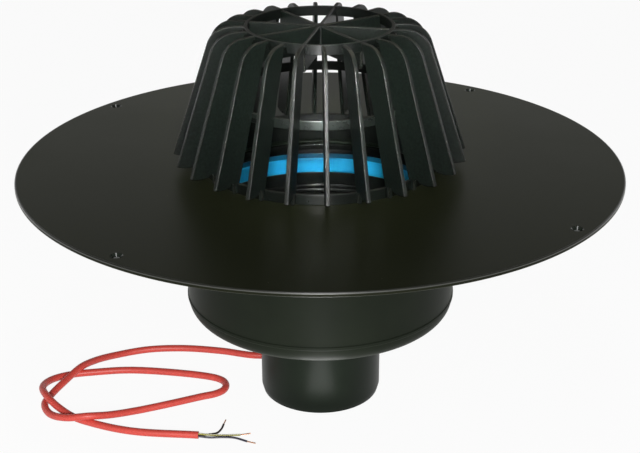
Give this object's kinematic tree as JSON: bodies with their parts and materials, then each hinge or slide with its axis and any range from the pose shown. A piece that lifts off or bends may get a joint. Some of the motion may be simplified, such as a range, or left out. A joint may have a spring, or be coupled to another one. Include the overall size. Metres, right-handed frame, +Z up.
{
  "type": "flat roof drain",
  "caption": "Heated flat roof drain: round flange plate, ribbed leaf basket over the throat, cup with a lip seal, upright outlet and a lead with stripped ends.",
  "frame": {"origin": "centre of the outlet's lower end, on the ground that the drain stands on", "axes": "+Z up along the drain's axis, -Y towards the front"},
  "size_m": [0.5269, 0.527, 0.3475],
  "materials": {
    "flange": "semi-matte olive black sheet",
    "shell": "satin green-black moulding",
    "cup": "glossy black moulding",
    "seal": "smooth bright blue rubber",
    "basket": "matte black moulding, greyed and mottled on the ribs",
    "heating_silicone": "matte orange silicone",
    "foam": "matte off-white foam",
    "grommet": "matte black rubber",
    "lead_sheath": "satin salmon red silicone",
    "core_brown": "satin dark brown",
    "core_earth": "satin olive yellow with a green stripe",
    "core_blue": "satin dark blue-grey",
    "bare_wire": "bright copper strands"
  },
  "bodies": {
    "root": {"flange_plate": "flange", "outer_shell": "shell", "drain_cup": "cup", "seal_ring": "seal", "retaining_ring": "cup", "leaf_basket": "basket", "heating_mat": "heating_silicone", "insulation_ring": "foam", "lead_grommet": "grommet", "heating_lead": "lead_sheath", "core_brown": "core_brown", "core_earth": "core_earth", "core_blue": "core_blue", "wire_brown": "bare_wire", "wire_earth": "bare_wire", "wire_blue": "bare_wire"}
  },
  "joints": []
}
